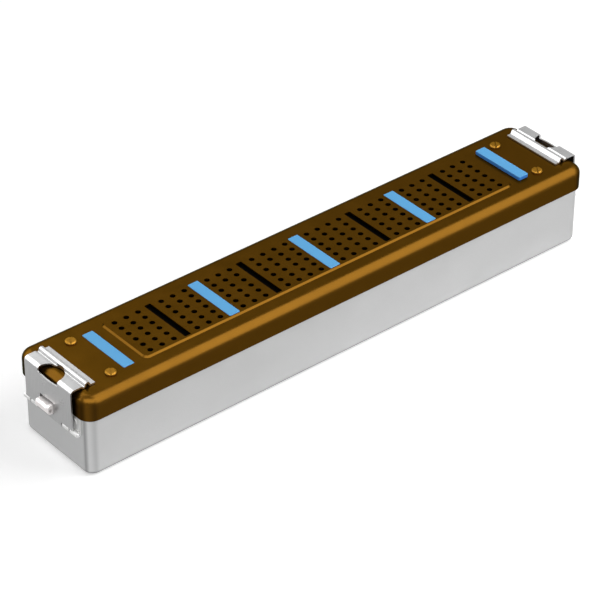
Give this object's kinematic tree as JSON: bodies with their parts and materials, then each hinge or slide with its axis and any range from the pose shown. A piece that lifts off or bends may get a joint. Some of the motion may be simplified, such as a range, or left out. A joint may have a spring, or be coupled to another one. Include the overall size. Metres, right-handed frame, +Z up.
{
  "type": "sterilization container",
  "caption": "Long, slim metal box for steam sterilizing one instrument: a plain tub, a perforated lid with seal and filter, and a hinged latch on each end.",
  "frame": {"origin": "centre of the tub's base, on the surface it stands on", "axes": "X along the length, Y across the width, Z up; the picture's near end is -X and its long side in view is -Y"},
  "size_m": [0.4704, 0.0802, 0.0692],
  "materials": {
    "tub_metal": "natural anodized, satin",
    "lid_metal": "bronze-gold anodized, glossy",
    "screw_metal": "gold coloured, polished",
    "bar_silicone": "light blue silicone, matte",
    "seal_silicone": "pale silicone, matte",
    "filter_fabric": "dark reusable filter cloth",
    "inner_steel": "brushed stainless steel",
    "bracket_steel": "satin stainless steel",
    "pin_steel": "polished stainless steel",
    "lug_metal": "pale satin metal",
    "latch_steel": "glossy stainless steel"
  },
  "bodies": {
    "tub": {"tub_shell": "tub_metal", "hinge_bracket_left": "bracket_steel", "hinge_bracket_right": "bracket_steel", "hinge_pin_left": "pin_steel", "hinge_pin_right": "pin_steel", "bracket_rivets_left": "bracket_steel", "bracket_rivets_right": "bracket_steel", "seal_lug_left": "lug_metal", "seal_lug_right": "lug_metal"},
    "lid": {"lid_shell": "lid_metal", "lid_gasket": "seal_silicone", "filter_sheet": "filter_fabric", "filter_retainer": "inner_steel", "lid_screws": "screw_metal", "screw_nuts": "inner_steel", "screw_seals": "seal_silicone", "stacking_bar_left": "bar_silicone", "stacking_bar_middle": "bar_silicone", "stacking_bar_right": "bar_silicone", "end_bar_left": "bar_silicone", "end_bar_right": "bar_silicone"},
    "latch_left": {"latch_plate_left": "latch_steel"},
    "latch_right": {"latch_plate_right": "latch_steel"}
  },
  "joints": [
    {"name": "lid_lift", "type": "slide", "parent": "tub", "child": "lid", "axis": [0, 0, 1], "range_m": [0, 0.025]},
    {"name": "latch_left_hinge", "type": "hinge", "parent": "tub", "child": "latch_left", "pos_m": [-0.22855, 0, 0.033], "axis": [0, -1, 0], "range_deg": [0, 125]},
    {"name": "latch_right_hinge", "type": "hinge", "parent": "tub", "child": "latch_right", "pos_m": [0.22855, 0, 0.033], "axis": [0, 1, 0], "range_deg": [0, 125]}
  ],
  "couplings": [
    {"joint": "latch_left_hinge", "follows": "lid_lift", "rad_per_m": 87.26},
    {"joint": "latch_right_hinge", "follows": "lid_lift", "rad_per_m": 87.26}
  ]
}
